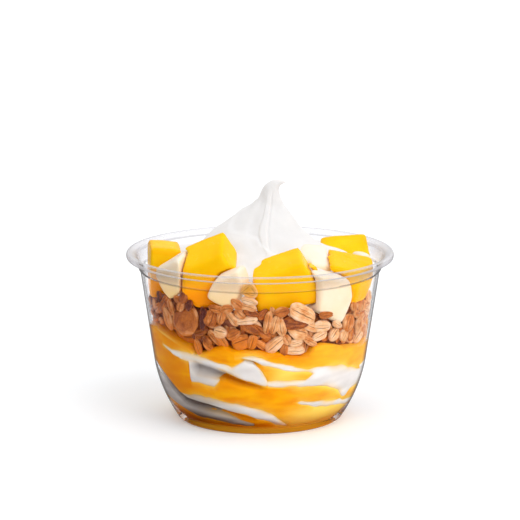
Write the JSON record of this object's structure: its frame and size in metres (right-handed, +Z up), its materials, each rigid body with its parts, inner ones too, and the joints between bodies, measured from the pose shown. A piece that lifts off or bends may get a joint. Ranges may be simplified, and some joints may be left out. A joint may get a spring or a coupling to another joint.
{
  "type": "soft serve cup",
  "caption": "Clear tapered dessert cup filled with soft serve swirled with mango sauce, a granola layer, mango and banana chunks and a curled soft serve peak.",
  "frame": {"origin": "middle of the cup's base, on the surface that it stands on", "axes": "+Z up through the cup, -Y towards the side that the picture shows, +X to the right seen from there"},
  "size_m": [0.108, 0.108, 0.0963],
  "materials": {
    "clear_plastic": "clear and glossy",
    "soft_serve": "smooth and satin",
    "mango_sauce": "wet and glossy",
    "granola": "toasted and dry",
    "mango": "juicy and satin",
    "banana": "soft and matt"
  },
  "bodies": {
    "root": {"cup": "clear_plastic", "soft_serve_base": "soft_serve", "soft_serve_top": "soft_serve", "mango_sauce": "mango_sauce", "granola": "granola", "banana_1": "banana", "banana_2": "banana", "banana_3": "banana", "banana_4": "banana", "banana_5": "banana", "banana_6": "banana", "banana_7": "banana", "banana_8": "banana", "mango_1": "mango", "mango_2": "mango", "mango_3": "mango", "mango_4": "mango", "mango_5": "mango", "mango_6": "mango", "mango_7": "mango", "mango_8": "mango"}
  },
  "joints": []
}
